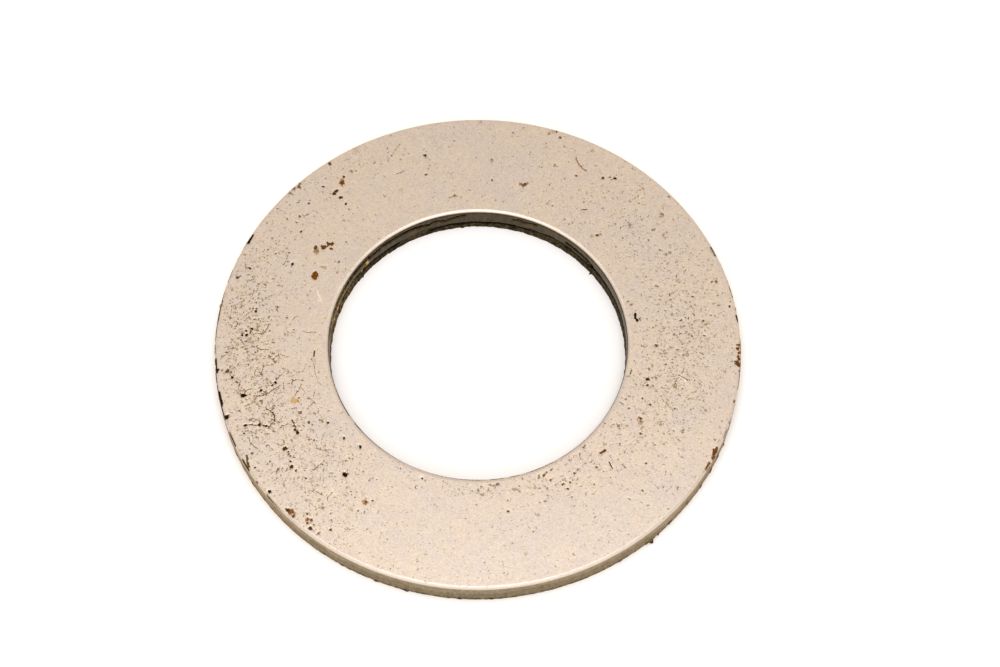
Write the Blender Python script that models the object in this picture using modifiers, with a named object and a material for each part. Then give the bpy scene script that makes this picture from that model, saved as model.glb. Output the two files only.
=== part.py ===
"""A flat washer punched from sheet steel: one ring with a round bolt hole.

Metres, +Z up. The origin is the centre of the lower face, on the axis of the hole.
Punching leaves the same marks on both walls. From the top down they are a rounded
edge, a clean upright band, a torn band that leans back into the metal, and a small
break at the foot.

Run it with: blender --background --python part.py
"""

import math

import bpy

# Driving dimensions: the washer for a 20 mm bolt.
OUTER_DIAMETER = 0.0370
HOLE_DIAMETER = 0.0210
THICKNESS = 0.0020

# The rounded upper edges: how far each reaches across the face and down the wall.
RIM_ROLL_WIDTH = 0.00030
RIM_ROLL_DEPTH = 0.00024
HOLE_ROLL_WIDTH = 0.00034
HOLE_ROLL_DEPTH = 0.00022

# The walls below the rounded edges.
TORN_HEIGHT = 0.55 * THICKNESS  # the torn band fills the wall up to this height
TORN_LEAN = 0.00006  # how far the torn band leans back by the time it reaches the foot
FOOT_BREAK = 0.00008  # the small break where each wall meets the lower face

# How finely the round surfaces are divided.
ROLL_STEPS = 4
TURN_STEPS = 120  # a multiple of 4, so that the overall size is exact along X and Y

COLLECTION_NAME = "flat_washer"
NODE_NAME = "washer"

STEEL_COLOUR = (0.62, 0.55, 0.49, 1.0)
STEEL_METALLIC = 1.0
STEEL_ROUGHNESS = 0.45
SMOOTH_BELOW = math.radians(30)


def clear_scene():
    for old in list(bpy.data.objects):
        bpy.data.objects.remove(old)


def steel():
    material = bpy.data.materials.new("bare_steel")
    material.use_nodes = True
    shader = material.node_tree.nodes["Principled BSDF"]
    shader.inputs["Base Color"].default_value = STEEL_COLOUR
    shader.inputs["Metallic"].default_value = STEEL_METALLIC
    shader.inputs["Roughness"].default_value = STEEL_ROUGHNESS
    return material


def wall_outline(wall_radius, inward, roll_width, roll_depth):
    """(radius, height) points of one wall, from the upper face down to the lower face.

    inward is -1 where the metal lies towards the axis, as on the rim, and +1 where it
    lies away from it, as around the hole.
    """
    points = []
    for step in range(ROLL_STEPS + 1):
        turn = math.radians(90) * step / ROLL_STEPS
        radius = wall_radius + inward * roll_width * (1 - math.sin(turn))
        height = THICKNESS - roll_depth * (1 - math.cos(turn))
        points.append((radius, height))
    leaned = wall_radius + inward * TORN_LEAN
    points.append((wall_radius, TORN_HEIGHT))
    points.append((leaned, FOOT_BREAK))
    points.append((leaned + inward * FOOT_BREAK, 0.0))
    return points


def ring_outline():
    """The ring's closed section: down the rim, across the lower face and up the hole."""
    rim = wall_outline(OUTER_DIAMETER / 2, -1, RIM_ROLL_WIDTH, RIM_ROLL_DEPTH)
    hole = wall_outline(HOLE_DIAMETER / 2, 1, HOLE_ROLL_WIDTH, HOLE_ROLL_DEPTH)
    return rim + list(reversed(hole))


def turned(name, outline, material):
    """An object whose closed outline, in the X-Z plane, is turned about the Z axis."""
    count = len(outline)
    mesh = bpy.data.meshes.new(name)
    vertices = [(radius, 0.0, height) for radius, height in outline]
    edges = [(index, (index + 1) % count) for index in range(count)]
    mesh.from_pydata(vertices, edges, [])
    mesh.materials.append(material)
    turned_object = bpy.data.objects.new(name, mesh)
    screw = turned_object.modifiers.new("turn", "SCREW")
    screw.axis = "Z"
    screw.angle = math.radians(360)
    screw.steps = TURN_STEPS
    screw.render_steps = TURN_STEPS
    screw.use_merge_vertices = True
    screw.merge_threshold = 0.00001
    screw.use_smooth_shade = True
    return turned_object


def freeze(source):
    """The same object with its modifiers applied, so that its edges can be shaded."""
    bpy.context.view_layer.update()
    graph = bpy.context.evaluated_depsgraph_get()
    mesh = bpy.data.meshes.new_from_object(source.evaluated_get(graph))
    source.modifiers.clear()
    source.data = mesh
    mesh.name = source.name
    mesh.shade_smooth()
    mesh.set_sharp_from_angle(angle=SMOOTH_BELOW)


def main():
    clear_scene()
    collection = bpy.data.collections.new(COLLECTION_NAME)
    bpy.context.scene.collection.children.link(collection)
    washer = turned(NODE_NAME, ring_outline(), steel())
    collection.objects.link(washer)
    freeze(washer)


main()
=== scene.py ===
"""The looks of a punched flat washer: worn bare steel with pits, rust spots and torn walls.

The washer is one closed mesh. Its two faces are triangulated finely round every pit and
mark, and its two walls are regular grids with the marks that punching leaves: a rounded
upper edge, a clean upright band, and below it a torn, leaning band with a ragged foot.

Lengths are in millimetres, except where a comment says. A place on a face is a turn in degrees
about the Z axis, from +X towards +Y, and a distance from that axis. A place on a wall is
a turn and a height above the lower face.
"""

import math

import bpy
import numpy as np
from mathutils import Matrix, Vector, kdtree, noise
from mathutils.geometry import delaunay_2d_cdt


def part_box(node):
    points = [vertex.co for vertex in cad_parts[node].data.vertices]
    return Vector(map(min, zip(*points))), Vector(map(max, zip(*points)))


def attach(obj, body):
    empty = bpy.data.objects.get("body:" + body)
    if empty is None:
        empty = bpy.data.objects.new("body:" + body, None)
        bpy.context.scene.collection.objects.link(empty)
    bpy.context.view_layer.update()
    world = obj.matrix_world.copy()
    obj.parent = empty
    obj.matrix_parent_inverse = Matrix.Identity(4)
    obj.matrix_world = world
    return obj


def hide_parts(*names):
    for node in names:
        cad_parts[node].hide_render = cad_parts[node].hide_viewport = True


MM = 0.001
SEED = 20

# The section, which keeps close to the CAD solid's.
RIM_ROLL = (0.20, 0.24)  # reach of the rounded edge across the face, and down the wall
HOLE_ROLL = (0.29, 0.22)
TORN_LEAN = 0.01
FOOT_BREAK = 0.03
HOLE_BURR_AND_SHADE = 0.07  # how far the foot of the hole's wall stands out: partly a burr, partly a dark stand-in for the shadow at the foot
RIM_TORN_TOP = 1.10  # mean height of the line between the clean and the torn band
HOLE_TORN_TOP = 0.62
RIM_BURNISH_AND_HIGHLIGHT = 0.85  # how far round each rounded edge the burnished metal and its painted highlight reach, of 1
HOLE_BURNISH_AND_HIGHLIGHT = 0.54
HOLE_HIGHLIGHT_SWING = 0.08  # how much more at the front, and less at the back, as the light falls: it moves the end of the painted highlight round the hole

# The relief
SHEET_WAVES = [(5.0, 0.008, 3), (0.9, 0.0025, 4)]  # pitch, height and noise layer of each
RIM_LUMPS = 0.020  # height of the lumps in the torn band
HOLE_LUMPS = 0.035
RIM_RAG = 0.06  # how far the ragged parts of the wall's foot stand out
HOLE_RAG = 0.03
PIT_DEPTH = 0.11  # depth of a black mark, as a share of its width
RUST_SWELL = 0.13  # how much higher than that the warmest mark stands
GLEAM_HEIGHT = 0.006

# How finely the mesh is divided
TURNS = 900
ROLL_ROWS = 6
RIM_ROWS = 14
HOLE_ROWS = 18
FACE_PITCH = 0.26
UNDERSIDE_PITCH = 0.44
EDGE_RING = 0.05  # gap between each edge of the upper face and a ring of points inside it
MARK_GAP = 0.028  # how close points may lie in a mark, and then in a small pit
PIT_GAP = 0.022

# Marks on the upper face that are roughly round: (turn, distance, width, strength, warmth).
# Here and in the next two lists, the width is in hundredths of a millimetre, and strength
# and warmth run to 100. Warmth goes from black through brown and rust to tan.
SPOTS = [
    # right
    (359.3, 12.55, 28, 65, 30), (356.8, 14.5, 15, 50, 30), (352.9, 11.05, 15, 60, 30),
    (346.9, 12.2, 28, 95, 25), (346.4, 14.7, 16, 60, 30), (344.6, 12.3, 22, 70, 40),
    (346.2, 18.38, 20, 90, 45), (339.6, 12.25, 18, 80, 25), (338.6, 12.9, 16, 70, 20),
    (339.0, 13.5, 15, 50, 30), (337.3, 11.2, 20, 50, 30), (338.8, 11.35, 20, 50, 40),
    (333.8, 15.15, 15, 50, 35), (332.8, 12.7, 28, 80, 50), (331.6, 12.88, 36, 55, 85),
    (332.2, 12.6, 25, 50, 80), (333.7, 14.15, 25, 60, 80), (333.5, 13.9, 20, 40, 75),
    (355.6, 18.22, 40, 100, 48), (359.9, 18.3, 28, 95, 58), (359.0, 18.24, 26, 95, 64),
    (358.1, 18.34, 24, 90, 60), (357.2, 18.26, 24, 90, 62), (356.5, 18.36, 24, 90, 62),
    (355.0, 18.34, 30, 95, 55), (2.4, 16.0, 14, 60, 25), (358.9, 16.0, 14, 50, 25),
    (5.8, 12.35, 18, 50, 40), (6.1, 13.1, 15, 50, 30), (6.8, 16.0, 17, 70, 25), (7.5, 14.45, 16, 50, 40),
    (8.2, 14.8, 16, 60, 30), (8.0, 16.6, 14, 60, 40), (9.6, 16.3, 12, 60, 30), (9.8, 18.05, 18, 75, 25),
    (11.4, 15.4, 18, 50, 40), (11.6, 15.65, 14, 60, 40), (14.0, 15.7, 18, 55, 30), (14.3, 16.6, 14, 50, 35),
    (15.1, 15.45, 15, 50, 40), (16.0, 11.25, 20, 50, 45), (17.5, 11.1, 20, 60, 45),
    (16.2, 17.58, 20, 52, 70), (16.7, 17.64, 24, 62, 62), (16.8, 17.33, 20, 62, 60),
    (20.0, 13.45, 20, 55, 30), (30.4, 15.0, 18, 55, 30), (38.6, 16.85, 36, 52, 62),
    (38.3, 16.6, 36, 42, 80), (41.3, 18.2, 20, 65, 30), (17.2, 17.74, 16, 55, 60),
    (353.6, 18.4, 16, 70, 40),
    # back
    (45.5, 12.35, 15, 60, 40), (45.8, 12.15, 24, 78, 36), (46.7, 11.8, 34, 46, 85),
    (47.0, 17.3, 30, 42, 60), (51.2, 11.5, 40, 25, 80), (51.1, 14.1, 25, 40, 40), (52.4, 18.15, 25, 45, 60),
    (54.1, 16.7, 24, 100, 15), (55.2, 16.55, 16, 80, 20), (56.6, 16.2, 26, 70, 40),
    (58.6, 11.7, 24, 40, 60), (62.8, 17.8, 40, 40, 60), (63.0, 15.35, 22, 65, 42), (64.8, 12.3, 20, 50, 25),
    (66.7, 12.3, 22, 45, 20), (71.1, 17.9, 28, 62, 45), (72.4, 18.3, 25, 75, 40), (73.2, 18.2, 40, 45, 88),
    (74.0, 17.95, 38, 50, 80), (75.9, 13.3, 34, 72, 40), (76.4, 13.15, 30, 60, 46),
    (77.3, 13.22, 30, 55, 66), (82.3, 17.45, 25, 42, 55), (86.4, 13.25, 22, 60, 40),
    (87.0, 14.95, 30, 45, 30), (87.0, 17.0, 25, 35, 40), (99.1, 12.03, 26, 66, 40),
    (105.1, 15.82, 26, 80, 20), (105.3, 14.65, 22, 40, 50), (106.4, 14.18, 24, 62, 38),
    (113.4, 16.55, 20, 55, 40), (120.5, 18.1, 60, 34, 90), (126.8, 16.68, 26, 80, 45),
    (127.5, 18.2, 28, 80, 45), (127.8, 16.5, 30, 60, 75), (128.3, 16.32, 42, 92, 62),
    (129.5, 13.95, 18, 50, 25), (130.8, 16.05, 30, 100, 30), (131.8, 15.98, 30, 100, 30),
    (131.1, 15.4, 30, 100, 35), (131.4, 14.75, 22, 90, 20), (131.8, 14.25, 26, 50, 40),
    (132.5, 16.95, 18, 70, 20), (96.8, 11.85, 30, 36, 70), (61.8, 16.1, 22, 52, 60),
    (90.4, 18.2, 40, 32, 60),
    # left, behind the middle
    (136.8, 18.15, 35, 66, 52), (137.9, 18.36, 35, 62, 62), (139.3, 18.28, 35, 56, 62),
    (137.5, 16.75, 16, 50, 30), (138.3, 16.65, 22, 60, 30), (140.6, 12.45, 18, 50, 40),
    (142.7, 16.45, 24, 65, 40), (144.2, 16.2, 16, 50, 40), (143.9, 13.1, 30, 90, 52),
    (144.6, 13.3, 36, 95, 50), (145.5, 12.92, 24, 85, 42), (146.3, 13.48, 38, 100, 48),
    (147.8, 13.88, 40, 95, 50), (148.9, 13.66, 46, 58, 74), (145.0, 17.0, 20, 50, 20),
    (145.9, 15.55, 22, 65, 40), (147.2, 16.7, 24, 40, 40), (148.0, 11.85, 22, 65, 40),
    (151.5, 17.0, 22, 50, 25), (153.0, 15.3, 17, 65, 45), (153.8, 16.7, 14, 50, 30),
    (154.6, 16.8, 16, 60, 25), (154.8, 16.15, 18, 60, 30), (156.2, 16.6, 18, 50, 30),
    (155.7, 14.65, 22, 90, 15), (155.6, 12.88, 36, 95, 58), (156.4, 12.8, 56, 100, 62),
    (157.2, 12.74, 40, 100, 66), (161.0, 17.35, 24, 90, 25), (161.2, 17.52, 30, 52, 85),
    (162.1, 12.6, 15, 55, 30), (164.2, 17.9, 24, 80, 30), (168.2, 12.2, 17, 50, 35),
    (169.7, 16.05, 20, 50, 40), (169.8, 14.45, 20, 60, 20), (171.3, 15.9, 14, 80, 20),
    (171.5, 16.15, 15, 80, 20), (172.1, 15.9, 20, 85, 20), (174.2, 15.6, 16, 60, 30),
    (177.1, 15.95, 20, 90, 10), (177.8, 16.35, 17, 95, 10), (178.9, 16.3, 24, 95, 10),
    (179.1, 16.6, 18, 95, 10), (135.9, 18.3, 26, 70, 50), (139.2, 18.04, 20, 52, 62),
    (145.6, 13.28, 20, 80, 60), (148.4, 13.66, 26, 60, 66), (168.2, 17.3, 70, 32, 92),
    (163.6, 17.7, 16, 60, 50),
    # left, in front of the middle
    (182.3, 17.5, 25, 40, 60), (182.8, 16.9, 25, 40, 40), (184.6, 14.4, 26, 52, 50),
    (185.6, 14.62, 26, 55, 50), (187.2, 14.32, 28, 52, 52), (186.0, 15.85, 17, 75, 20),
    (187.8, 18.35, 30, 95, 10), (188.4, 17.65, 40, 70, 40), (188.8, 17.4, 20, 60, 40),
    (190.1, 17.35, 22, 90, 15), (191.5, 17.1, 20, 70, 30), (193.5, 14.45, 22, 90, 10),
    (194.3, 14.7, 20, 80, 20), (195.0, 15.55, 22, 95, 10), (194.3, 16.7, 35, 50, 90),
    (195.2, 16.8, 38, 100, 5), (198.0, 15.7, 25, 55, 45), (198.8, 17.4, 20, 60, 30),
    (199.4, 18.28, 36, 100, 5), (200.7, 13.55, 50, 75, 97), (200.2, 13.15, 16, 70, 30),
    (201.3, 13.3, 16, 60, 35), (202.8, 17.3, 26, 90, 12), (203.9, 16.4, 26, 92, 12),
    (204.5, 17.6, 16, 65, 15), (209.8, 17.7, 22, 60, 45), (204.9, 13.5, 30, 60, 40),
    (209.0, 13.25, 24, 65, 40), (207.0, 12.6, 25, 50, 50), (209.8, 12.5, 20, 60, 40),
    (212.0, 12.1, 24, 65, 25), (213.9, 13.85, 26, 55, 70), (213.0, 13.8, 35, 35, 90),
    (212.6, 15.6, 34, 90, 30), (213.9, 15.5, 18, 66, 30), (216.4, 15.8, 18, 70, 25),
    (216.4, 16.8, 28, 60, 45), (217.8, 15.95, 30, 85, 25), (219.7, 18.2, 26, 95, 10),
    (219.8, 11.85, 26, 65, 25), (225.6, 18.15, 35, 95, 30), (226.5, 18.08, 50, 80, 70),
    (227.6, 18.2, 30, 85, 50), (204.9, 16.0, 20, 85, 15), (206.3, 14.22, 18, 80, 30),
    (208.0, 14.24, 20, 85, 25), (209.2, 14.34, 18, 85, 25), (210.4, 14.27, 26, 100, 12),
    (213.2, 18.05, 16, 75, 35), (214.5, 15.6, 16, 75, 25), (215.2, 15.55, 14, 65, 30),
    (219.2, 15.85, 18, 75, 25), (186.4, 14.42, 20, 55, 50), (185.0, 14.66, 18, 50, 52),
    (187.9, 14.52, 18, 50, 48),
    # front
    (226.3, 12.55, 20, 50, 45), (226.0, 11.45, 24, 80, 15), (229.2, 13.6, 40, 100, 5),
    (229.4, 17.45, 22, 65, 40), (230.4, 17.75, 34, 62, 55), (232.2, 18.1, 30, 85, 30),
    (234.4, 18.05, 22, 60, 50), (236.0, 12.95, 18, 50, 30), (236.0, 17.35, 24, 75, 30),
    (236.8, 15.38, 40, 38, 88), (238.6, 15.2, 18, 55, 50), (238.9, 14.4, 50, 62, 80),
    (240.2, 14.05, 16, 70, 30), (242.2, 11.05, 16, 75, 15), (249.2, 17.5, 20, 35, 60),
    (251.0, 11.15, 18, 80, 15), (271.1, 11.3, 22, 58, 45), (277.8, 11.0, 30, 60, 45),
    (279.8, 13.05, 22, 66, 32), (285.4, 14.85, 20, 50, 30), (292.8, 11.15, 25, 50, 50),
    (293.6, 12.2, 18, 50, 45), (294.3, 11.22, 22, 62, 50), (295.8, 11.1, 20, 60, 45),
    (295.8, 11.7, 22, 60, 40), (297.8, 11.05, 18, 60, 35), (299.2, 13.45, 18, 50, 35),
    (299.2, 12.35, 18, 60, 35), (299.4, 12.8, 22, 75, 35), (301.1, 12.45, 18, 60, 35),
    (304.0, 12.05, 20, 62, 32), (305.6, 11.95, 18, 50, 30), (310.8, 12.6, 24, 60, 45),
    (311.4, 15.8, 18, 50, 35), (315.4, 16.0, 18, 60, 20), (321.8, 14.85, 24, 60, 35),
    (326.3, 11.85, 20, 50, 40), (327.0, 11.7, 25, 60, 40), (326.6, 11.35, 18, 50, 40),
    (328.4, 13.3, 22, 60, 40), (231.1, 17.6, 30, 66, 60), (230.9, 17.92, 24, 60, 62),
    (237.1, 14.0, 34, 36, 88), (239.0, 14.38, 20, 80, 62), (276.6, 17.45, 22, 42, 75),
    (282.3, 16.3, 35, 33, 88), (292.7, 17.3, 24, 42, 65), (288.0, 13.8, 30, 36, 75),
    (313.6, 17.0, 18, 50, 45), (287.0, 10.9, 22, 50, 55), (294.9, 11.14, 18, 60, 48),
]

# Marks on the upper face that are drawn out, as nicks, dashes, scratches and hairlines:
# ([(turn, distance), ...], width, strength, warmth)
STROKES = [
    ([(9.2, 11.38), (10.6, 11.28), (12.0, 11.33)], 20, 100, 10),
    ([(9.0, 11.58), (9.8, 11.55)], 10, 70, 20), ([(8.4, 13.5), (9.5, 13.35), (10.8, 13.5)], 6, 40, 40),
    ([(54.6, 13.3), (55.8, 13.08)], 12, 60, 30),
    ([(61.4, 16.05), (62.8, 16.15), (64.2, 16.35), (65.4, 16.7)], 15, 52, 66),
    ([(98.0, 11.95), (101.2, 11.9)], 16, 44, 75), ([(104.9, 15.7), (104.2, 15.35)], 12, 35, 30),
    ([(110.0, 17.35), (113.4, 16.6)], 7, 40, 40), ([(111.0, 15.02), (114.5, 14.98)], 10, 40, 45),
    ([(152.2, 12.4), (152.6, 12.75)], 22, 40, 40),
    ([(171.8, 17.68), (173.3, 17.6), (175.0, 17.66)], 6, 50, 30),
    ([(193.0, 17.35), (195.0, 17.05)], 6, 40, 30),
    ([(195.9, 16.2), (196.5, 15.7), (196.3, 15.1), (195.6, 14.75), (194.8, 14.2)], 7, 70, 25),
    ([(200.4, 15.55), (201.5, 15.3), (203.0, 15.18), (204.6, 15.35), (205.2, 15.75)], 6, 80, 15),
    ([(203.0, 17.05), (203.9, 16.5), (204.3, 16.2), (204.8, 16.05), (205.6, 15.75)], 8, 85, 20),
    ([(206.0, 14.2), (208.2, 14.22), (209.5, 14.32), (210.8, 14.28)], 7, 75, 30),
    ([(184.6, 11.5), (186.4, 11.55)], 12, 75, 25),
    ([(187.2, 11.75), (190.0, 11.6), (192.5, 11.65), (195.0, 11.58)], 6, 50, 30),
    ([(196.4, 11.6), (198.0, 11.4)], 6, 50, 30), ([(256.3, 12.4), (257.8, 12.8)], 6, 30, 40),
    ([(246.6, 15.85), (246.9, 16.3)], 10, 35, 40),
    ([(274.5, 10.95), (276.0, 11.05), (277.0, 11.2)], 10, 50, 50),
    ([(275.5, 11.05), (278.0, 11.0)], 12, 48, 60), ([(305.2, 11.25), (306.4, 11.05)], 10, 40, 35),
    ([(309.2, 11.25), (309.9, 11.1)], 12, 50, 40), ([(312.2, 10.9), (313.5, 10.88)], 12, 75, 30),
    ([(314.2, 13.4), (315.0, 12.9)], 10, 75, 30), ([(314.5, 12.1), (317.2, 12.15)], 32, 35, 90),
    ([(315.3, 12.02), (317.0, 12.1)], 16, 85, 40), ([(317.1, 13.65), (317.1, 14.0)], 12, 50, 45),
    ([(323.3, 13.7), (323.3, 14.0)], 10, 35, 45), ([(335.0, 11.2), (335.2, 10.9)], 10, 60, 30),
    ([(347.5, 10.95), (349.0, 10.96)], 12, 65, 30),
    ([(349.2, 14.95), (349.7, 14.6), (350.2, 14.25)], 6, 60, 40),
    # along the rim
    ([(5.8, 18.43), (7.4, 18.41)], 14, 95, 15), ([(8.6, 18.45), (9.4, 18.45)], 10, 90, 20),
    ([(12.0, 18.45), (14.8, 18.45)], 10, 85, 25), ([(23.0, 18.38), (25.3, 18.37)], 22, 60, 30),
    ([(153.1, 18.38), (154.9, 18.36)], 28, 100, 2), ([(170.0, 18.44), (176.0, 18.44)], 8, 80, 20),
    ([(185.0, 18.4), (188.6, 18.38)], 14, 95, 20), ([(193.3, 18.4), (196.2, 18.38)], 16, 100, 5),
    ([(209.8, 18.1), (211.0, 18.25), (212.5, 18.36)], 18, 75, 42),
    ([(328.8, 18.4), (330.2, 18.4)], 22, 72, 60), ([(331.8, 18.42), (334.2, 18.36)], 24, 82, 55),
    ([(332.7, 18.32), (333.6, 18.24)], 18, 85, 58),
]

# Scratches with a painted highlight along them: ([(turn, distance), ...], width)
GLEAMS = [
    ([(161.0, 12.2), (162.5, 11.95), (164.0, 11.65)], 7),
    ([(348.8, 14.9), (349.3, 14.6), (349.8, 14.35)], 5),
]

# Where pits, specks and hairlines crowd together:
# (turn, half width in turn, distance, half width, crowding 0 to 1)
CROWDS = [
    (188, 26, 16.3, 2.9, 0.58),
    (206, 26, 14.4, 3.0, 0.42),
    (168, 18, 16.8, 2.0, 0.38),
    (228, 16, 16.6, 2.4, 0.40),
    (226, 12, 12.6, 2.0, 0.30),
    (5, 26, 15.2, 3.2, 0.55),
    (342, 24, 13.2, 2.8, 0.50),
    (305, 20, 12.0, 1.6, 0.42),
    (272, 20, 11.3, 0.7, 0.60),
    (42, 26, 14.6, 3.2, 0.34),
    (128, 26, 17.0, 1.8, 0.26),
]
# Where golden crust covers the walls, laid out in the same way
CRUST = [
    (166, 16, 10.5, 3.0, 0.95),
    (214, 20, 18.5, 1.0, 0.80),
    (322, 20, 18.5, 1.0, 0.45),
]
PITS_IN_CROWD = 5.0  # pits per mm2 where crowding is 1
PITS_EVERYWHERE = 0.30
HAIR_CROWDS = [
    (190, 24, 15.8, 3.2, 1.0),
    (212, 14, 14.5, 3.0, 0.5),
]
HAIRS_IN_CROWD = 1.3  # hairlines per mm2 where crowding is 1
PITS_UNDERNEATH = 0.5
# The random marks' ranges, in millimetres, and in strength and warmth from 0 to 1
PIT_WIDTHS = (0.07, 0.17)
PIT_STRENGTHS = (0.35, 0.85)
PIT_WARMTHS = (0.22, 0.60)
UNDER_PIT_WIDTHS = (0.10, 0.30)
UNDER_PIT_STRENGTH = 0.7
UNDER_PIT_WARMTH = 0.35
HAIR_WIDTH = 0.060
HAIR_LENGTHS = (0.30, 1.10)
HAIR_STRENGTHS = (0.35, 0.70)
HAIR_WARMTH = 0.46
HAIR_RUNS = 4
HAIR_BEND = 28  # most that a hairline bends from run to run, in degrees
HAIR_JITTER = 15  # how far each run may then stray from that

# A dark line along the upper edges of the rim and of the hole, laid out as the crowds are. Round the front
# of the hole it is painted shade; along the rim it only darkens the edge.
RIM_EDGE_DARK = [
    (190, 26, 18.5, 1.0, 0.75),
    (214, 10, 18.5, 1.0, 0.70),
    (160, 14, 18.5, 1.0, 0.60),
    (8, 20, 18.5, 1.0, 0.60),
    (340, 16, 18.5, 1.0, 0.40),
]
# painted shade along the front of the hole's upper edge
HOLE_EDGE_SHADE = [
    (216, 22, 10.5, 1.0, 0.62),
    (284, 34, 10.5, 1.0, 0.62),
]
# The level, on a scale of about -1 to 1, that noise has to pass for the dark edge line to show
RIM_EDGE_DARK_GAPS = -0.05
HOLE_EDGE_SHADE_GAPS = -0.40

# On the walls, all but the turn is in hundredths of a millimetre.
# Crumbs of scale and burr: (turn, height, width, stand-out)
HOLE_CRUMBS = [(39.6, 6, 16, 20), (144.0, 12, 24, 8), (97.0, 6, 30, 6)]
RIM_CRUMBS = [
    (310.4, 20, 38, 27), (309.2, 30, 34, 12), (302.3, 22, 26, 10), (312.4, 20, 24, 12),
    (316.0, 40, 50, 5), (321.5, 80, 34, 5), (326.8, 30, 40, 8), (331.0, 45, 50, 10), (334.5, 60, 50, 6),
    (338.0, 30, 36, 10), (236.6, 30, 30, 3), (241.0, 12, 30, 3), (249.0, 10, 40, 5), (255.6, 10, 50, 6),
    (267.0, 10, 36, 3), (273.8, 10, 40, 4), (206.0, 30, 40, 5), (192.0, 30, 50, 5), (214.0, 25, 40, 4),
    (221.0, 20, 30, 3), (171.0, 120, 44, 16),
]

CRACK_DEPTH = 0.13
FLAKE_HEIGHT = 0.06
# The warmth of the scale on the crumbs, and of the dark edge lines, which are painted shade round the front
# of the hole
GRIME_AND_SHADE_WARMTH = 0.22
# The warmth of the pale tan painted glints on the hole's flakes
FLAKE_GLINT_WARMTH = 0.97

# Cracks round the hole's wall: ([(turn, height), ...], width)
HOLE_CRACKS = [
    ([(0, 64), (8, 74), (20, 79), (30, 77), (40, 81)], 44),
    ([(39, 99), (42, 111), (48, 117), (53, 125)], 34),
    ([(40, 59), (50, 64), (55, 77), (61, 79), (64, 64), (69, 64), (72, 47), (77, 51)], 24),
    ([(77, 51), (83, 53), (88, 41), (93, 47), (98, 39), (103, 45), (110, 29)], 26),
    ([(67, 165), (70, 153), (72, 141), (74, 159), (77, 139)], 17),
    ([(96, 164), (101, 139), (104, 115), (107, 139), (109, 144), (111, 115)], 20),
    ([(112, 125), (117, 145), (122, 147), (128, 141), (132, 153), (135, 139), (138, 145)], 30),
    ([(138, 145), (143, 153), (150, 157), (157, 153), (163, 157), (172, 155), (178, 149)], 34),
    ([(124, 39), (134, 45), (140, 51), (146, 69), (150, 77), (156, 69), (162, 59)], 26),
    ([(166, 59), (171, 74), (176, 84)], 30),
]
# Raised flakes on the hole's wall, painted pale tan as glints: (turn, height, width)
HOLE_FLAKE_GLINTS = [(140.3, 115, 42), (144.2, 94, 26), (163.4, 110, 40), (168.0, 80, 44)]

# The camera, in degrees and millimetres from the centre of the upper face.
CAMERA_ELEVATION = 62.83
CAMERA_ROLL = 0.72
CAMERA_DISTANCE = 161.3
CENTRE_RIGHT = -1.544
CENTRE_UP = -0.563
CAMERA_LENS = 82.6

# The stage: places and sizes in metres, and power in watts
FLOOR_HALF = 3.0
FRONT_PLACE = (0.0, -0.26, 0.17)
FRONT_SIZE = (0.60, 0.20)
FRONT_POWER = 0.44
OVERHEAD_PLACE = (0.0, -0.03, 0.28)
OVERHEAD_SIZE = (0.16, 0.16)
OVERHEAD_POWER = 0.34
ROOM_STRENGTH = 0.95
FLOOR_GLOW = 0.04
SOFTBOX_COLOUR = (0.87, 0.96, 1.12)
ROOM_COLOUR = (1.0, 0.970, 0.920, 1.0)

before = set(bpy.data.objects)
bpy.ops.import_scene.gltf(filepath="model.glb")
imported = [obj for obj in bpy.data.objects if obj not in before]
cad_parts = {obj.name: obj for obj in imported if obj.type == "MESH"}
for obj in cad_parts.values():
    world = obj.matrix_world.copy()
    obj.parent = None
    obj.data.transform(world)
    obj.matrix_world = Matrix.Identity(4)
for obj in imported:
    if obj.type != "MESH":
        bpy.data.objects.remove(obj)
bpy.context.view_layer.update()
washer_low, washer_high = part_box("washer")
THICKNESS = (washer_high[2] - washer_low[2]) / MM
RIM_RADIUS = (washer_high[0] - washer_low[0]) / 2 / MM
HOLE_RADIUS = min(v.co.to_2d().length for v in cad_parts["washer"].data.vertices) / MM

random = np.random.default_rng(SEED)


# --- small tools ---


def on_face(turn, distance):
    """(x, y) of a place on a face."""
    angle = np.radians(turn)
    return np.stack([distance * np.cos(angle), distance * np.sin(angle)], axis=-1)


def smooth_step(low, high, value):
    """0 below low, 1 above high, and a smooth climb between. It falls if high is below low."""
    share = np.clip((value - low) / (high - low), 0.0, 1.0)
    return share * share * (3 - 2 * share)


def noise_at(points, pitch, layer, octaves=2):
    """Smooth noise, about -1 to 1, at each point. pitch is the size of its lumps."""
    shift = Vector((7.3 * layer, 3.1 * layer, 5.7 * layer))
    scaled = np.asarray(points) / pitch
    return np.array([noise.fractal(Vector(p) + shift, 1.0, 2.0, octaves) for p in scaled.tolist()])


def gap_to_path(points, path):
    """Each 2D point's distance to a path of straight runs."""
    path = np.asarray(path, float)
    if len(path) == 1:
        return np.linalg.norm(points - path[0], axis=1)
    nearest = np.full(len(points), np.inf)
    for start, end in zip(path[:-1], path[1:]):
        run = end - start
        along = np.clip((points - start) @ run / (run @ run), 0.0, 1.0)
        nearest = np.minimum(nearest, np.linalg.norm(points - start - along[:, None] * run, axis=1))
    return nearest


# --- the section ---


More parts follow.
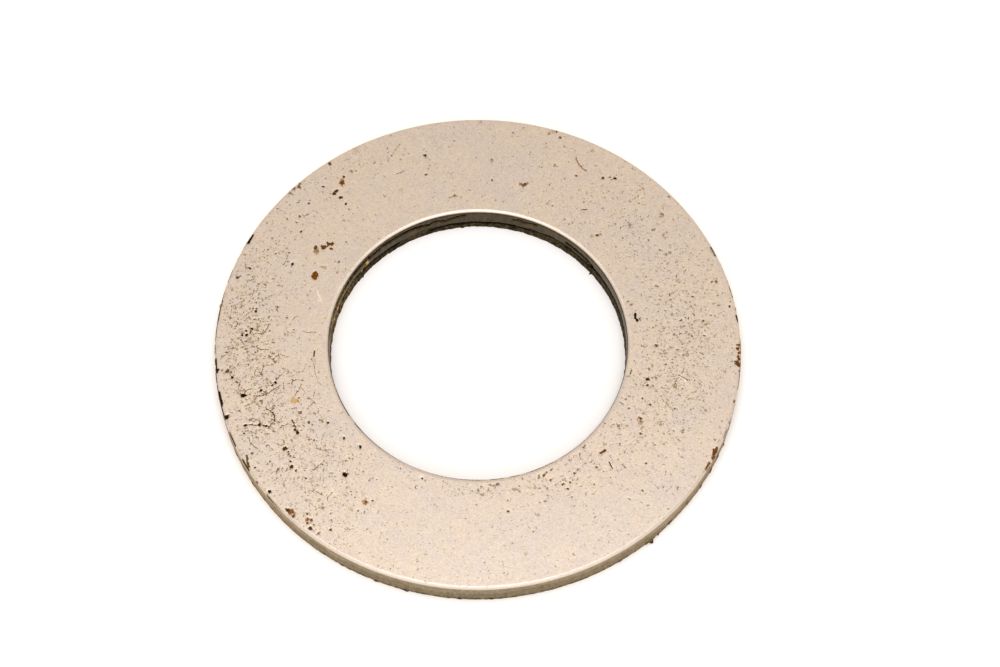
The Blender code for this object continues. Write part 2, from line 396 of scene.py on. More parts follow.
def wall_section(wall_radius, inward, roll, rows):
    """(radius, height) down one wall, from the upper face's edge to the lower face's.

    inward is -1 where the metal lies towards the axis, on the rim, and +1 round the hole.
    """
    reach, drop = roll
    section = []
    for row in range(ROLL_ROWS + 1):
        turn = math.pi / 2 * row / ROLL_ROWS
        radius = wall_radius + inward * reach * (1 - math.sin(turn))
        section.append((radius, THICKNESS - drop * (1 - math.cos(turn))))
    for row in range(1, rows + 1):
        height = (THICKNESS - drop) + (FOOT_BREAK - THICKNESS + drop) * row / rows
        lean = TORN_LEAN * smooth_step(RIM_TORN_TOP, FOOT_BREAK, height)
        section.append((wall_radius + inward * lean, height))
    section.append((wall_radius + inward * (TORN_LEAN + FOOT_BREAK), 0.0))
    return np.array(section)


def section_normals(section, inward):
    """The direction, in radius and height, that each section point faces."""
    slope = np.gradient(section, axis=0)
    facing = np.stack([slope[:, 1], -slope[:, 0]], axis=1) * inward
    return facing / np.linalg.norm(facing, axis=1)[:, None]


def turned_section(section, facing):
    """Places and directions of a section turned about the axis, as (row, turn, xyz)."""
    angle = np.arange(TURNS) * 2 * math.pi / TURNS
    around = np.stack([np.cos(angle), np.sin(angle)], axis=1)

    def spun(pairs):
        flat = pairs[:, None, :1] * around[None]
        height = np.broadcast_to(pairs[:, None, 1:], flat.shape[:2] + (1,))
        return np.concatenate([flat, height], axis=2)

    return spun(section), spun(facing)


# --- the faces ---


def hex_grid(pitch, reach):
    """Points of a triangular grid that covers a square of this reach."""
    rows = np.arange(-reach, reach, pitch * math.sqrt(3) / 2)
    columns = np.arange(-reach, reach, pitch)
    x, y = np.meshgrid(columns, rows)
    x = x + (np.arange(len(rows)) % 2)[:, None] * pitch / 2
    return np.stack([x.ravel(), y.ravel()], axis=1)


def between(points, inner, outer):
    distance = np.linalg.norm(points, axis=1)
    return points[(distance > inner) & (distance < outer)]


def points_round(path, width):
    """A fine patch of points that covers a mark and its edge."""
    path = np.asarray(path, float)
    middle = (path.min(axis=0) + path.max(axis=0)) / 2
    pitch = max(0.03, width / 6)
    reach = np.abs(path - middle).max() + width * 0.8
    patch = hex_grid(pitch, reach) + middle
    return patch[gap_to_path(patch, path) < width * 0.75]


def pit_points(places, widths):
    """The middle of each small pit and six points on its edge."""
    turns = np.radians(np.arange(6) * 60)
    edge = np.stack([np.cos(turns), np.sin(turns)], axis=1)
    rims = places[:, None] + edge[None] * widths[:, None, None] * 0.62
    return np.concatenate([places, rims.reshape(-1, 2)])


def keep_apart(points, gap):
    """The points without those that share a small cell with an earlier one."""
    cells = np.floor(points / gap).astype(int)
    _, first = np.unique(cells, axis=0, return_index=True)
    return points[np.sort(first)]


def crowding(crowds, turn, distance):
    """How crowded the small marks are at a place, from 0 to 1."""
    total = np.zeros(len(turn))
    for crowd_turn, turn_spread, crowd_distance, spread, most in crowds:
        off = (turn - crowd_turn + 180) % 360 - 180
        across = (off / turn_spread) ** 2 + ((distance - crowd_distance) / spread) ** 2
        total += most * np.exp(-across)
    return np.clip(total, 0, 1)


def scatter(crowds, everywhere, in_crowd, inner, outer):
    """Random places on a ring, at so many per mm2, with more where marks crowd together."""
    most = everywhere + in_crowd
    count = int(most * math.pi * (outer**2 - inner**2))
    distance = np.sqrt(random.uniform(inner**2, outer**2, count))
    turn = random.uniform(0, 360, count)
    chance = everywhere + in_crowd * crowding(crowds, turn, distance)
    kept = random.uniform(0, most, count) < chance
    return on_face(turn[kept], distance[kept])


def hairlines(starts):
    """A short, bending path from each start."""
    paths = []
    for start in starts:
        heading = random.uniform(0, 360)
        run = random.uniform(*HAIR_LENGTHS) / HAIR_RUNS
        bend = random.uniform(-HAIR_BEND, HAIR_BEND)
        jitter = random.uniform(-HAIR_JITTER, HAIR_JITTER, HAIR_RUNS)
        headings = heading + bend * np.arange(HAIR_RUNS) + jitter
        steps = on_face(headings, run)
        paths.append(np.vstack([start, start + np.cumsum(steps, axis=0)]))
    return paths


def triangulated(outer_radius, inner_radius, inside):
    """A flat ring's 2D points, its two edges first, and its triangles, facing up."""
    angle = np.degrees(np.arange(TURNS) * 2 * math.pi / TURNS)
    points = np.concatenate([on_face(angle, outer_radius), on_face(angle, inner_radius), inside])
    edges = [(k, (k + 1) % TURNS) for k in range(TURNS)]
    edges += [(TURNS + k, TURNS + (k + 1) % TURNS) for k in range(TURNS)]
    result = delaunay_2d_cdt([Vector(p) for p in points.tolist()], edges, [], 1, 1e-6, False)
    triangles = np.array(result[2])
    in_hole = ((triangles >= TURNS) & (triangles < 2 * TURNS)).all(axis=1)
    return np.array(result[0]), triangles[~in_hole]


# --- the whole skin, before its relief ---


class Skin:
    """Every vertex of the washer: where it is, which way it faces, and what its surface is like.

    rim and hole hold vertex numbers as (row, turn). Their first and last rows are the
    edges of the upper and the lower face.
    """

    def __init__(self, upper, lower, rim, hole):
        self.places = []
        self.facings = []
        self.count = 0
        self.upper = self.add_face(upper, THICKNESS, 1.0)
        self.lower = self.add_face(lower, 0.0, -1.0)
        self.rim = self.add_wall(rim, 0)
        self.hole = self.add_wall(hole, TURNS)
        self.places = np.concatenate(self.places)
        self.facings = np.concatenate(self.facings)
        self.lift = np.zeros(self.count)
        names = ("mark", "warmth", "gleam", "burnish_and_highlight", "wall", "in_hole", "torn", "crust", "wear")
        self.values = {name: np.zeros(self.count) for name in names}

    def darken(self, numbers, amount):
        """Raises the mark value of these vertices to an amount, where it is lower."""
        mark = self.values["mark"]
        mark[numbers] = np.maximum(mark[numbers], amount)

    def tint(self, numbers, warmth):
        """Sets the warmth of the marks on these vertices."""
        self.values["warmth"][numbers] = warmth

    def add(self, places, facings):
        numbers = np.arange(self.count, self.count + len(places))
        self.places.append(places)
        self.facings.append(facings)
        self.count += len(places)
        return numbers

    def add_face(self, points, height, up):
        places = np.column_stack([points, np.full(len(points), height)])
        facings = np.tile([0.0, 0.0, up], (len(points), 1))
        return self.add(places, facings)

    def add_wall(self, section, edge):
        """A wall whose first and last rows are rings of the two faces, edge vertices in."""
        places, facings = section
        middle = self.add(places[1:-1].reshape(-1, 3), facings[1:-1].reshape(-1, 3))
        ring = np.arange(edge, edge + TURNS)
        rows = [self.upper[ring], *middle.reshape(-1, TURNS), self.lower[ring]]
        return np.stack(rows)


def wall_faces(rows, outward):
    """Quads between the rows of one wall, as vertex numbers."""
    here = rows
    ahead = np.roll(rows, -1, axis=1)
    corners = [here[:-1], here[1:], ahead[1:], ahead[:-1]]
    quads = np.stack(corners if outward else corners[::-1], axis=-1)
    return quads.reshape(-1, 4)


# --- relief and marks ---


def stamp(skin, chosen, flat, tree, wobble, path, width, strength, warmth):
    """Presses one mark into the chosen vertices, whose 2D places are flat."""
    path = np.asarray(path, float)
    middle = (path.min(axis=0) + path.max(axis=0)) / 2
    reach = np.abs(path - middle).max() * 1.5 + width * 1.3
    near = [found[1] for found in tree.find_range((*middle, 0.0), reach)]
    if not near:
        return
    near = np.array(near)
    gap = gap_to_path(flat[near], path) / (width / 2) + 0.55 * wobble[near]
    inside = smooth_step(1.30, 0.55, gap)
    amount = strength * inside
    numbers = chosen[near]
    stronger = amount > skin.values["mark"][numbers]
    skin.values["mark"][numbers[stronger]] = amount[stronger]
    skin.values["warmth"][numbers[stronger]] = warmth
    skin.lift[numbers] -= width * strength * (PIT_DEPTH - RUST_SWELL * warmth) * inside


def flat_tree(flat):
    tree = kdtree.KDTree(len(flat))
    for number, place in enumerate(flat.tolist()):
        tree.insert((*place, 0.0), number)
    tree.balance()
    return tree


def mark_upper_face(skin, pits, pit_widths, hairs):
    """Every mark, pit, hairline and scratch of the upper face."""
    rim_rows = skin.rim[1 : ROLL_ROWS + 3].ravel()
    hole_rows = skin.hole[1 : ROLL_ROWS + 1].ravel()
    chosen = np.concatenate([skin.upper, rim_rows, hole_rows])
    places = skin.places[chosen]
    flat = places[:, :2]
    ground = (skin, chosen, flat, flat_tree(flat), noise_at(places, 0.16, 1))
    for path, width, strength, warmth in face_marks():
        stamp(*ground, path, width, strength, warmth)
    strengths = random.uniform(*PIT_STRENGTHS, len(pits))
    warmths = random.uniform(*PIT_WARMTHS, len(pits))
    for place, width, strength, warmth in zip(pits, pit_widths, strengths, warmths):
        stamp(*ground, [place], width, strength, warmth)
    for path, strength in zip(hairs, random.uniform(*HAIR_STRENGTHS, len(hairs))):
        stamp(*ground, path, HAIR_WIDTH, strength, HAIR_WARMTH)
    # a painted highlight, slightly raised, along each bright scratch
    for path, width in gleam_paths():
        inside = smooth_step(1.3, 0.4, gap_to_path(flat, path) / (width / 2))
        skin.values["gleam"][chosen] = np.maximum(skin.values["gleam"][chosen], inside)
        skin.lift[chosen] += GLEAM_HEIGHT * inside


def mark_lower_face(skin, pits, pit_widths):
    """Small random pits on the lower face."""
    flat = skin.places[skin.lower][:, :2]
    ground = (skin, skin.lower, flat, flat_tree(flat), noise_at(skin.places[skin.lower], 0.16, 2))
    for place, width in zip(pits, pit_widths):
        stamp(*ground, [place], width, UNDER_PIT_STRENGTH, UNDER_PIT_WARMTH)


def face_marks():
    """Each listed mark of the upper face as (path, width, strength, warmth)."""
    spots = [([(turn, distance)], *rest) for turn, distance, *rest in SPOTS]
    return [
        (on_face(*np.array(places).T), width / 100, strength / 100, warmth / 100)
        for places, width, strength, warmth in spots + STROKES
    ]


def gleam_paths():
    """Each scratch with a painted highlight as (path, width)."""
    return [(on_face(*np.array(places).T), width / 100) for places, width in GLEAMS]


def undulate(skin):
    """The gentle waves of rolled sheet, on every surface."""
    for pitch, height, layer in SHEET_WAVES:
        skin.lift += height * noise_at(skin.places, pitch, layer)


def tear_wall(skin, rows, torn_top, lumpiness, burr, rag, layer):
    """The clean upper band, the torn lower band and the burr at the foot of one wall. Round the hole the
    burr also stands in for the shadow at the wall's foot.
    """
    numbers = rows[ROLL_ROWS:].ravel()
    places = skin.places[numbers]
    height = places[:, 2]
    level = np.column_stack([places[:, :2], np.zeros(len(places))])
    streaks = noise_at(places * (1, 1, 0.08), 0.16, layer)
    lumps = noise_at(places, 0.30, layer + 1, 4)
    wander = noise_at(level, 2.6, layer + 2, 3)
    ragged = noise_at(level, 0.55, layer + 3, 2)
    line = torn_top * (1 + 0.40 * wander) + 0.06 * ragged
    torn = smooth_step(line + 0.10, line - 0.10, height)
    on_line = np.exp(-(((height - line) / 0.07) ** 2))
    foot = smooth_step(0.30, 0.05, height)
    away_from_edge = smooth_step(THICKNESS, THICKNESS - 0.5, height)
    skin.lift[numbers] += away_from_edge * (1 - torn) * 0.008 * streaks
    skin.lift[numbers] += torn * lumpiness * lumps
    skin.lift[numbers] -= away_from_edge * on_line * lumpiness * 0.5 * (1 + ragged)
    skin.lift[numbers] += foot * (burr + rag * np.clip(ragged - 0.20, 0, 1))
    skin.values["torn"][numbers] = torn
    skin.values["wall"][rows[ROLL_ROWS:]] = 1.0


def wall_map(skin, rows, radius):
    """Wall vertex numbers, their (arc length, height) places and a wobble for ragged edges."""
    numbers = rows[ROLL_ROWS - 1 :].ravel()
    places = skin.places[numbers]
    turn = np.arctan2(places[:, 1], places[:, 0]) % (2 * math.pi)
    flat = np.column_stack([turn * radius, places[:, 2]])
    return numbers, flat, noise_at(places, 0.12, 9, 3)


def press_wall(skin, wall, path, width, ragged, edges, lift):
    """Lifts and darkens one mark on a wall. Returns how far inside it each vertex lies."""
    numbers, flat, wobble = wall
    gap = gap_to_path(flat, path) / (width / 2) + ragged * wobble
    inside = smooth_step(*edges, gap)
    skin.lift[numbers] += lift * inside
    skin.darken(numbers, inside)
    return inside


def crumb_wall(skin, rows, radius, crumbs):
    """Crumbs of burr and scale on one wall."""
    wall = wall_map(skin, rows, radius)
    for turn, height, width, stand_out in crumbs:
        middle = [(math.radians(turn) * radius, height / 100)]
        inside = press_wall(skin, wall, middle, width / 100, 0.5, (1.35, 0.35), stand_out / 100)
        skin.tint(wall[0][inside > 0.1], GRIME_AND_SHADE_WARMTH)


def crack_hole(skin):
    """Cracks, and raised flakes painted pale tan as glints, on the hole's wall."""
    wall = wall_map(skin, skin.hole, HOLE_RADIUS)
    for places, width in HOLE_CRACKS:
        path = [(math.radians(turn) * HOLE_RADIUS, height / 100) for turn, height in places]
        press_wall(skin, wall, path, width / 100, 0.6, (1.4, 0.4), -CRACK_DEPTH)
    for turn, height, width in HOLE_FLAKE_GLINTS:
        middle = [(math.radians(turn) * HOLE_RADIUS, height / 100)]
        inside = press_wall(skin, wall, middle, width / 100, 0.6, (1.3, 0.5), FLAKE_HEIGHT)
        # the flakes' pale tan is painted glint
        skin.tint(wall[0][inside > 0.2], FLAKE_GLINT_WARMTH)


def shade_rolls(skin):
    """The rounded upper edges: burnished, with a painted highlight, next to the face, then as the wall.
    Round the hole the painted highlight reaches further at the front than at the back.
    """
    angle = np.arange(TURNS) * 2 * math.pi / TURNS
    rim_end = np.full(TURNS, RIM_BURNISH_AND_HIGHLIGHT)
    hole_end = HOLE_BURNISH_AND_HIGHLIGHT - HOLE_HIGHLIGHT_SWING * np.sin(angle)
    for rows, burnish_and_highlight_end in ((skin.rim, rim_end), (skin.hole, hole_end)):
        for row in range(ROLL_ROWS):
            share = row / ROLL_ROWS
            skin.values["wall"][rows[row]] = smooth_step(burnish_and_highlight_end, burnish_and_highlight_end + 0.15, share)
            skin.values["burnish_and_highlight"][rows[row]] = smooth_step(0.0, 0.25, share)
    skin.values["in_hole"][skin.hole] = 1.0


def darken_upper_edge(skin, rows, crowds, radius, gaps):
    """A dark line along the upper edge of one wall: painted shade round the front of the hole, and a darker
    edge along the rim. It is more broken as gaps goes up.
    """
    for row in range(ROLL_ROWS - 3, ROLL_ROWS + 1):
        numbers = rows[row]
        places = skin.places[numbers]
        turn = np.degrees(np.arctan2(places[:, 1], places[:, 0]))
        patchy = smooth_step(gaps - 0.3, gaps + 0.3, noise_at(places, 0.9, 41, 3))
        edge_dark = patchy * crowding(crowds, turn, np.full(len(turn), radius))
        # painted shade round the front of the hole; a darker edge along the rim
        skin.darken(numbers, edge_dark)
        skin.tint(numbers, GRIME_AND_SHADE_WARMTH)


def spread_wear(skin):
    """How worn and speckled the upper face is at each place, and how crusted the walls are."""
    places = skin.places
    turn = np.degrees(np.arctan2(places[:, 1], places[:, 0]))
    distance = np.linalg.norm(places[:, :2], axis=1)
    skin.values["wear"] = crowding(CROWDS, turn, distance)
    skin.values["crust"] = crowding(CRUST, turn, distance)


# --- the mesh ---


def upper_points(pits, pit_widths, hairs, inner, outer):
    """The upper face's points: fine round each mark and pit, coarser elsewhere."""
    patches = [points_round(path, width) for path, width, _, _ in face_marks()]
    patches += [points_round(path, HAIR_WIDTH) for path in hairs]
    patches += [points_round(path, width) for path, width in gleam_paths()]
    fine = keep_apart(np.concatenate(patches), MARK_GAP)
    small = keep_apart(pit_points(pits, pit_widths), PIT_GAP)
    coarse = hex_grid(FACE_PITCH, RIM_RADIUS)
    coarse = coarse + random.uniform(-0.15, 0.15, coarse.shape) * FACE_PITCH
    points = np.concatenate([fine, small, clear_of(coarse, np.concatenate([fine, small]), 0.09)])
    angle = np.arange(0, 360, 360 / TURNS)
    rings = np.concatenate([on_face(angle, inner + EDGE_RING), on_face(angle, outer - EDGE_RING)])
    return np.concatenate([rings, between(points, inner + 2 * EDGE_RING, outer - 2 * EDGE_RING)])


def lower_points(pits, pit_widths, inner, outer):
    coarse = hex_grid(UNDERSIDE_PITCH, RIM_RADIUS)
    small = keep_apart(pit_points(pits, pit_widths), PIT_GAP)
    points = np.concatenate([small, clear_of(coarse, small, 0.12)])
    return between(points, inner + EDGE_RING, outer - EDGE_RING)


def clear_of(points, others, gap):
    """The points that are at least gap away from all the others."""
    tree = flat_tree(others)
    kept = [tree.find((x, y, 0.0))[2] > gap for x, y in points.tolist()]
    return points[np.array(kept)]


def build_skin():
    """The washer's skin, with its relief, and its faces."""
    rim_section = wall_section(RIM_RADIUS, -1, RIM_ROLL, RIM_ROWS)
    hole_section = wall_section(HOLE_RADIUS, 1, HOLE_ROLL, HOLE_ROWS)
    rim = turned_section(rim_section, section_normals(rim_section, -1))
    hole = turned_section(hole_section, section_normals(hole_section, 1))
    upper_outer, upper_inner = rim_section[0][0], hole_section[0][0]
    lower_outer, lower_inner = rim_section[-1][0], hole_section[-1][0]

    pits = scatter(CROWDS, PITS_EVERYWHERE, PITS_IN_CROWD, upper_inner + 0.1, upper_outer - 0.1)
    pit_widths = random.uniform(*PIT_WIDTHS, len(pits))
    hair_starts = scatter(HAIR_CROWDS, 0.0, HAIRS_IN_CROWD, upper_inner + 0.5, upper_outer - 0.5)
    hairs = hairlines(hair_starts)
    under_pits = scatter([], PITS_UNDERNEATH, 0.0, lower_inner + 0.2, lower_outer - 0.2)
    under_widths = random.uniform(*UNDER_PIT_WIDTHS, len(under_pits))
    inside = upper_points(pits, pit_widths, hairs, upper_inner, upper_outer)
    upper, upper_faces = triangulated(upper_outer, upper_inner, inside)
    inside = lower_points(under_pits, under_widths, lower_inner, lower_outer)
    lower, lower_faces = triangulated(lower_outer, lower_inner, inside)

    skin = Skin(upper, lower, rim, hole)
    undulate(skin)
    spread_wear(skin)
    shade_rolls(skin)
    tear_wall(skin, skin.rim, RIM_TORN_TOP, RIM_LUMPS, 0.0, RIM_RAG, 11)
    tear_wall(skin, skin.hole, HOLE_TORN_TOP, HOLE_LUMPS, HOLE_BURR_AND_SHADE, HOLE_RAG, 21)
    darken_upper_edge(skin, skin.rim, RIM_EDGE_DARK, RIM_RADIUS, RIM_EDGE_DARK_GAPS)
    darken_upper_edge(skin, skin.hole, HOLE_EDGE_SHADE, HOLE_RADIUS, HOLE_EDGE_SHADE_GAPS)
    crack_hole(skin)
    crumb_wall(skin, skin.rim, RIM_RADIUS, RIM_CRUMBS)
    crumb_wall(skin, skin.hole, HOLE_RADIUS, HOLE_CRUMBS)
    mark_upper_face(skin, pits, pit_widths, hairs)
    mark_lower_face(skin, under_pits, under_widths)
    faces = skin.upper[upper_faces].tolist() + skin.lower[lower_faces][:, ::-1].tolist()
    faces += wall_faces(skin.rim, True).tolist() + wall_faces(skin.hole, False).tolist()
    return skin, faces


def washer_object():
    skin, faces = build_skin()
    places = skin.places + skin.facings * skin.lift[:, None]
    places[:, 2] = np.maximum(places[:, 2], 0.0)
    mesh = bpy.data.meshes.new("punched_washer")
    mesh.from_pydata((places * MM).tolist(), [], faces)
    for name, values in skin.values.items():
        attribute = mesh.attributes.new(name, "FLOAT", "POINT")
        attribute.data.foreach_set("value", values.astype(np.float32))
    mesh.shade_smooth()
    mesh.validate()
    piece = bpy.data.objects.new("punched_washer", mesh)
    bpy.context.scene.collection.objects.link(piece)
    return piece


# --- materials ---


class Shader:
    """A material's node tree, with short calls that add to it."""

    def __init__(self, name):
        self.material = bpy.data.materials.new(name)
        self.material.use_nodes = True
        self.tree = self.material.node_tree
        self.surface = self.tree.nodes["Principled BSDF"]
        place = self.tree.nodes.new("ShaderNodeTexCoord").outputs["Object"]
        self.place = self.scaled(place, (1 / MM, 1 / MM, 1 / MM))
        self.height = self.add("ShaderNodeSeparateXYZ", Vector=self.place).outputs["Z"]

    def add(self, kind, **sockets):
        """A node whose named input sockets are given a value or another node's output."""
        node = self.tree.nodes.new(kind)
        for name, given in sockets.items():
            self.feed(node.inputs[name.replace("_", " ")], given)
        return node

    def give(self, name, given):
        """Feeds one of the surface's own sockets."""
        self.feed(self.surface.inputs[name], given)

    def feed(self, socket, given):
        if isinstance(given, bpy.types.NodeSocket):
            self.tree.links.new(given, socket)
        elif hasattr(given, "__len__") and len(given) == 3 and socket.type == "RGBA":
            socket.default_value = (*given, 1.0)
        else:
            socket.default_value = given

    def scaled(self, place, factors, shift=0.0):
        """A place multiplied by three factors, then shifted the same way along each axis."""
        node = self.tree.nodes.new("ShaderNodeVectorMath")
        node.operation = "MULTIPLY_ADD"
        self.feed(node.inputs[0], place)
        self.feed(node.inputs[1], factors)
        self.feed(node.inputs[2], (shift, shift, shift))
        return node.outputs[0]

    def math(self, operation, first, second):
        node = self.tree.nodes.new("ShaderNodeMath")
        node.operation = operation
        self.feed(node.inputs[0], first)
        self.feed(node.inputs[1], second)
        return node.outputs[0]

    def value(self, name):
        node = self.tree.nodes.new("ShaderNodeAttribute")
        node.attribute_name = name
        return node.outputs["Fac"]

    def noise(self, pitch, detail=3.0, squash=(1, 1, 1), offset=0.0):
        """Noise from 0 to 1 whose lumps are pitch millimetres across."""
        place = self.scaled(self.place, squash, offset)
        node = self.add("ShaderNodeTexNoise", Vector=place, Scale=1 / pitch, Detail=detail)
        return node.outputs["Fac"]

    def ramp(self, amount, stops):
        """Colours along a ramp, from (position, colour) stops."""
        node = self.add("ShaderNodeValToRGB", Fac=amount)
        ramp = node.color_ramp
        while len(ramp.elements) < len(stops):
            ramp.elements.new(0.5)
        for element, (position, colour) in zip(ramp.elements, stops):
            element.position = position
            element.color = (*colour, 1.0)
        return node.outputs["Color"]

    def climb(self, amount, low, high):
        """0 below low and 1 above high, smoothly. It falls if high is below low."""
        node = self.add("ShaderNodeMapRange", Value=amount, From_Min=low, From_Max=high)
        node.interpolation_type = "SMOOTHSTEP"
        return node.outputs["Result"]

    def spread(self, amount, low, high):
        """An amount from 0 to 1 stretched to run from low to high."""
        return self.add("ShaderNodeMapRange", Value=amount, To_Min=low, To_Max=high).outputs["Result"]

    def mix(self, share, first, second, blend="MIX"):
        node = self.tree.nodes.new("ShaderNodeMix")
        node.data_type = "RGBA"
        node.blend_type = blend
        self.feed(node.inputs[0], share)
        self.feed(node.inputs[6], first)
        self.feed(node.inputs[7], second)
        return node.outputs[2]

    def mix_value(self, share, first, second):
        node = self.tree.nodes.new("ShaderNodeMix")
        self.feed(node.inputs[0], share)
        self.feed(node.inputs[2], first)
        self.feed(node.inputs[3], second)
        return node.outputs[0]


def face_colour(shader):
    """Bare sheet steel: pinkish beige with faint yellow and grey mottling and a fine grain."""
    colour = shader.ramp(shader.noise(0.8, 4.0), [
        (0.34, (0.572, 0.458, 0.372)),
        (0.50, (0.588, 0.469, 0.368)),
        (0.66, (0.600, 0.478, 0.363)),
    ])
    grey = shader.climb(shader.noise(4.0, 3.0, offset=13.0), 0.45, 0.68)
    colour = shader.mix(shader.math("MULTIPLY", grey, 0.30), colour, (0.530, 0.455, 0.390))
    stain = shader.climb(shader.noise(0.55, 4.0, offset=31.0), 0.52, 0.72)
    stain = shader.math("MULTIPLY", stain, shader.spread(shader.value("wear"), 0.12, 0.36))
    colour = shader.mix(stain, colour, (0.485, 0.350, 0.225))
    grain = shader.spread(shader.noise(0.11, 3.0, offset=4.0), 0.70, 1.30)
    return shader.mix(1.0, colour, grain, "MULTIPLY")


def rim_wall_colour(shader):
    """Sheared steel of the rim: light brown, streaked upright, golden where crusted, with dark patches that
    grow stronger towards the foot."""
    streaks = shader.noise(0.22, 4.0, squash=(1, 1, 0.35))
    colour = shader.ramp(streaks, [(0.30, (0.188, 0.135, 0.068)), (0.70, (0.296, 0.225, 0.127))])
    crust = shader.math("MULTIPLY", shader.value("crust"), 0.60)
    colour = shader.mix(crust, colour, (0.370, 0.240, 0.085))
    lumps = shader.climb(shader.noise(0.24, 4.0, offset=9.0), 0.60, 0.44)
    # dark patches, stronger towards the foot
    foot = shader.climb(shader.height, 0.50, 0.0)
    dark = shader.math("MULTIPLY", lumps, shader.spread(foot, 0.16, 0.95))
    return shader.mix(dark, colour, (0.045, 0.026, 0.010))


def hole_wall_colour_and_shade(shader):
    """Sheared steel of the hole: dark olive grey, and nearly black brown where torn. It is far darker than
    the rim's wall, partly the steel's own colour and partly painted shade.
    """
    streaks = shader.noise(0.30, 3.0, squash=(1, 1, 0.20))
    clean = shader.ramp(streaks, [(0.30, (0.030, 0.018, 0.004)), (0.70, (0.080, 0.052, 0.015))])
    lumps = shader.noise(0.22, 4.0, offset=9.0)
    torn = shader.ramp(lumps, [
        (0.34, (0.008, 0.005, 0.001)),
        (0.52, (0.050, 0.031, 0.009)),
        (0.70, (0.108, 0.070, 0.026)),
    ])
    crust = shader.ramp(lumps, [
        (0.38, (0.020, 0.010, 0.000)),
        (0.52, (0.115, 0.066, 0.008)),
        (0.64, (0.300, 0.190, 0.045)),
    ])
    colour = shader.mix(shader.value("torn"), clean, torn)
    return shader.mix(shader.value("crust"), colour, crust)


def mark_colour(shader):
    """The colour inside a mark, from black scale through rust to pale tan."""
    uneven = shader.spread(shader.noise(0.10, 2.0), -0.16, 0.16)
    return shader.ramp(shader.math("ADD", shader.value("warmth"), uneven), [
        (0.00, (0.006, 0.003, 0.000)),
        (0.12, (0.032, 0.016, 0.002)),
        (0.25, (0.082, 0.041, 0.007)),
        (0.45, (0.155, 0.074, 0.015)),
        (0.65, (0.215, 0.068, 0.006)),
        (0.85, (0.450, 0.265, 0.095)),
        (1.00, (0.680, 0.470, 0.200)),
    ])


def specks(shader, pitch, offset, plain, worn):
    """Ragged specks, from 0 to 1. The noise that makes them has to pass the level plain where
    the face is least worn, and the level worn where it is most."""
    level = shader.spread(shader.value("wear"), plain, worn)
    over = shader.math("SUBTRACT", shader.noise(pitch, 2.0, offset=offset), level)
    return shader.climb(over, 0.0, 0.05)


def curls(shader, pitch, offset, plain, worn):
    """Short curled lines, from 0 to 1, along contours of smooth noise, which other noise breaks
    up. plain and worn are as for the specks."""
    off_contour = shader.math("SUBTRACT", shader.noise(pitch, 1.0, offset=offset), 0.5)
    line = shader.climb(shader.math("ABSOLUTE", off_contour, 0.0), 0.045, 0.012)
    level = shader.spread(shader.value("wear"), plain, worn)
    over = shader.math("SUBTRACT", shader.noise(pitch * 0.8, 2.0, offset=offset + 3.0), level)
    return shader.math("MULTIPLY", line, shader.climb(over, 0.0, 0.05))


def steel():
    """Worn bare steel over the whole washer, from its vertex values and noise."""
    shader = Shader("worn_steel")
    wall = shader.value("wall")
    ragged = shader.spread(shader.noise(0.085, 2.0, offset=2.0), -0.55, 0.55)
    mark = shader.climb(shader.math("ADD", shader.value("mark"), ragged), 0.22, 0.75)
    fine = specks(shader, 0.19, 0.0, 0.660, 0.560)
    dots = specks(shader, 0.15, 17.0, 0.740, 0.595)
    coarse = specks(shader, 0.38, 5.0, 0.710, 0.635)
    curled = curls(shader, 0.60, 8.0, 0.690, 0.555)
    halo = shader.climb(shader.math("ADD", shader.value("mark"), ragged), 0.00, 0.60)

    colour = face_colour(shader)
    layers = [
        (fine, 0.55, (0.240, 0.145, 0.062)),
        (curled, 0.65, (0.200, 0.118, 0.046)),
        (coarse, 0.70, (0.170, 0.095, 0.034)),
        (dots, 0.90, (0.085, 0.046, 0.015)),
        # the rounded edges' paler colour: partly the burnish, partly painted highlight
        (shader.value("burnish_and_highlight"), 0.35, (0.740, 0.640, 0.540)),
        (halo, 0.45, (0.300, 0.190, 0.095)),
    ]
    for amount, most, tint in layers:
        colour = shader.mix(shader.math("MULTIPLY", amount, most), colour, tint)
    # the hole's wall takes a darker palette than the rim's: partly its own colour, partly painted shade
    sheared = shader.mix(shader.value("in_hole"), rim_wall_colour(shader), hole_wall_colour_and_shade(shader))
    colour = shader.mix(wall, colour, sheared)
    colour = shader.mix(mark, colour, mark_colour(shader))
    # painted highlight along the bright scratches
    colour = shader.mix(shader.value("gleam"), colour, (0.770, 0.680, 0.580))
    shader.give("Base Color", colour)

    worn = shader.spread(shader.noise(0.5, 3.0, offset=6.0), 0.36, 0.52)
    rough = shader.mix_value(shader.math("MULTIPLY", wall, shader.value("torn")), worn, 0.75)
    rough = shader.mix_value(mark, rough, 0.85)
    shader.give("Roughness", rough)
    metal = shader.mix_value(mark, shader.mix_value(wall, 0.85, 0.80), 0.95)
    shader.give("Metallic", metal)

    grain = shader.noise(0.11, 3.0, offset=21.0)
    height = shader.math("SUBTRACT", grain, shader.math("ADD", fine, dots))
    bump = shader.add("ShaderNodeBump", Height=height, Strength=0.35, Distance=0.015 * MM)
    shader.give("Normal", bump.outputs["Normal"])
    return shader.material


def floor_material():
    """Plain white paper with the faintest unevenness and, as on a light box, a weak glow."""
    shader = Shader("white_paper")
    paper = shader.noise(30.0, 2.0)
    shader.give("Base Color", shader.ramp(paper, [
        (0.3, (0.915, 0.855, 0.795)),
        (0.7, (0.935, 0.875, 0.815)),
    ]))
    shader.give("Roughness", 0.9)
    shader.give("Emission Color", (1.0, 0.94, 0.86, 1.0))
    shader.give("Emission Strength", FLOOR_GLOW)
    return shader.material


# --- the stage ---


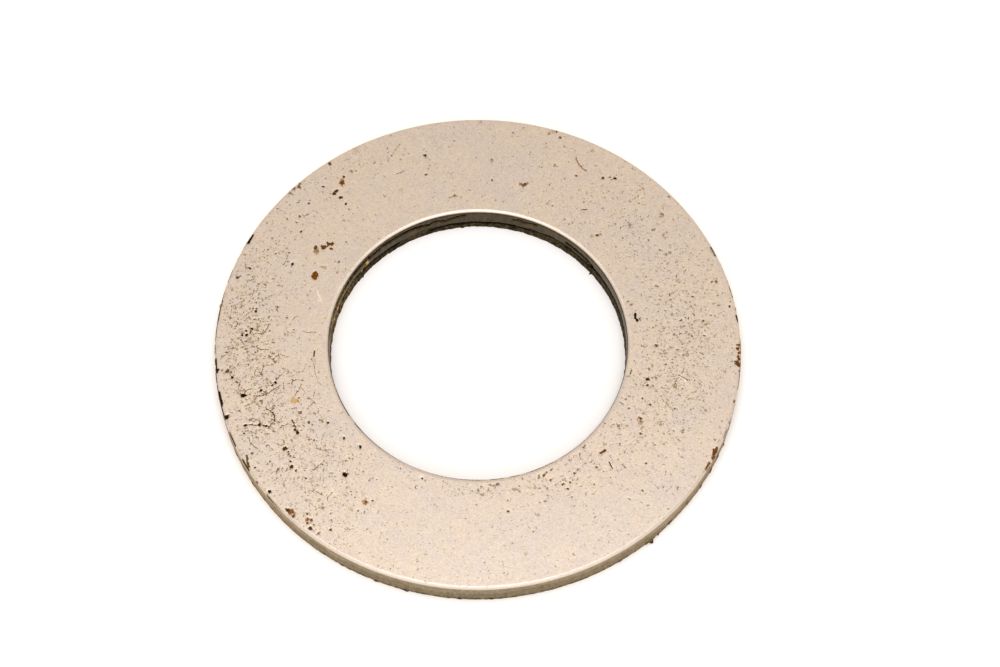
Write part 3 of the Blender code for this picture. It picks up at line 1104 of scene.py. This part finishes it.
def add_floor():
    half = FLOOR_HALF
    corners = [(-half, -half, 0), (half, -half, 0), (half, half, 0), (-half, half, 0)]
    mesh = bpy.data.meshes.new("floor")
    mesh.from_pydata(corners, [], [(0, 1, 2, 3)])
    mesh.materials.append(floor_material())
    floor = bpy.data.objects.new("floor", mesh)
    bpy.context.scene.collection.objects.link(floor)


def add_light(name, place, size, power):
    """A soft light that points at the washer."""
    data = bpy.data.lights.new(name, "AREA")
    data.shape = "RECTANGLE"
    data.size, data.size_y = size
    data.energy = power
    data.color = SOFTBOX_COLOUR
    light = bpy.data.objects.new(name, data)
    light.location = place
    light.rotation_mode = "QUATERNION"
    light.rotation_quaternion = (-Vector(place)).to_track_quat("-Z", "Y")
    light.visible_camera = False
    bpy.context.scene.collection.objects.link(light)


def add_lights():
    add_light("front_softbox", FRONT_PLACE, FRONT_SIZE, FRONT_POWER)
    add_light("overhead_softbox", OVERHEAD_PLACE, OVERHEAD_SIZE, OVERHEAD_POWER)
    world = bpy.data.worlds.new("white_room")
    world.use_nodes = True
    background = world.node_tree.nodes["Background"]
    background.inputs["Color"].default_value = ROOM_COLOUR
    background.inputs["Strength"].default_value = ROOM_STRENGTH
    bpy.context.scene.world = world
    bpy.context.scene.view_settings.view_transform = "Standard"


def add_camera():
    data = bpy.data.cameras.new("camera")
    data.lens = CAMERA_LENS
    data.sensor_width = 36.0
    data.clip_start = 0.01
    data.clip_end = 20.0
    camera = bpy.data.objects.new("camera", data)
    tilt = Matrix.Rotation(math.radians(90 - CAMERA_ELEVATION), 4, "X")
    turn = tilt @ Matrix.Rotation(math.radians(CAMERA_ROLL), 4, "Z")
    centre = Vector((0.0, 0.0, THICKNESS))
    seen_at = Vector((CENTRE_RIGHT, CENTRE_UP, -CAMERA_DISTANCE))
    place = (centre - turn.to_3x3() @ seen_at) * MM
    camera.matrix_world = Matrix.Translation(place) @ turn
    bpy.context.scene.collection.objects.link(camera)
    bpy.context.scene.camera = camera


add_camera()
add_lights()
add_floor()
washer = washer_object()
washer.data.materials.append(steel())
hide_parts("washer")
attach(washer, "root")
